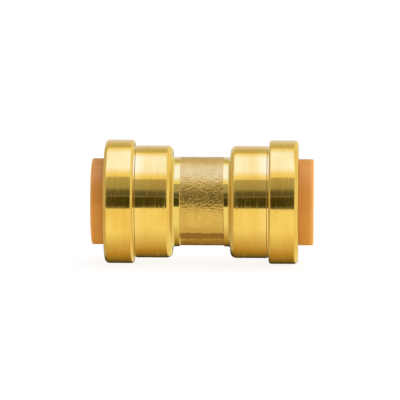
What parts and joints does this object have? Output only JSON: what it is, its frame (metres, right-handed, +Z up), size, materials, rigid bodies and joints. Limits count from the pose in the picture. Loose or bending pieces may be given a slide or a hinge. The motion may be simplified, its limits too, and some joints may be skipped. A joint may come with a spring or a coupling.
{
  "type": "push fit coupling",
  "caption": "Straight brass push-fit pipe coupling with a waisted forged body, a larger turned cap on each end and orange release collars that slide in to free the pipe.",
  "frame": {"origin": "middle of the coupling, on the pipe axis", "axes": "+X along the pipe axis out of the right-hand socket, +Z up; the forged neck's parting line lies 46 degrees below -Y, and opposite that"},
  "size_m": [0.0505, 0.0282, 0.0282],
  "materials": {
    "forged_brass": "satin turned cups, matte sand-blasted forged neck",
    "turned_brass": "satin, fine circumferential turning marks",
    "collar_plastic": "matte moulded acetal",
    "spring_steel": "drawn wire",
    "stainless_sheet": "rolled sheet, stamped edges",
    "seal_rubber": "moulded, lightly greased",
    "white_plastic": "matte moulded nylon",
    "grey_plastic": "matte moulded, glass filled",
    "liner_plastic": "natural polymer, slightly translucent"
  },
  "bodies": {
    "fitting": {"coupling_body": "forged_brass", "left_end_cap": "turned_brass", "left_cap_lock_ring": "spring_steel", "left_grab_ring_support": "grey_plastic", "left_o_ring_retainer": "white_plastic", "left_outer_o_ring": "seal_rubber", "left_o_ring_spacer": "white_plastic", "left_inner_o_ring": "seal_rubber", "right_end_cap": "turned_brass", "right_cap_lock_ring": "spring_steel", "right_grab_ring_support": "grey_plastic", "right_o_ring_retainer": "white_plastic", "right_outer_o_ring": "seal_rubber", "right_o_ring_spacer": "white_plastic", "right_inner_o_ring": "seal_rubber"},
    "left_grip": {"left_grab_ring": "stainless_sheet"},
    "left_collar": {"left_release_collar": "collar_plastic"},
    "left_liner": {"left_tube_liner": "liner_plastic"},
    "right_grip": {"right_grab_ring": "stainless_sheet"},
    "right_collar": {"right_release_collar": "collar_plastic"},
    "right_liner": {"right_tube_liner": "liner_plastic"}
  },
  "joints": [
    {"name": "left_grab_ring_spin", "type": "hinge", "parent": "fitting", "child": "left_grip", "pos_m": [0, 0, 0], "axis": [1, 0, 0], "continuous": true},
    {"name": "left_collar_slide", "type": "slide", "parent": "left_grip", "child": "left_collar", "axis": [1, 0, 0], "range_m": [-0.0005, 0.0017], "deforming": ["left_grab_ring"]},
    {"name": "left_liner_spin", "type": "hinge", "parent": "fitting", "child": "left_liner", "pos_m": [0, 0, 0], "axis": [1, 0, 0], "continuous": true},
    {"name": "right_grab_ring_spin", "type": "hinge", "parent": "fitting", "child": "right_grip", "pos_m": [0, 0, 0], "axis": [1, 0, 0], "continuous": true},
    {"name": "right_collar_slide", "type": "slide", "parent": "right_grip", "child": "right_collar", "axis": [-1, 0, 0], "range_m": [0, 0.0022], "deforming": ["right_grab_ring"]},
    {"name": "right_liner_spin", "type": "hinge", "parent": "fitting", "child": "right_liner", "pos_m": [0, 0, 0], "axis": [1, 0, 0], "continuous": true}
  ]
}
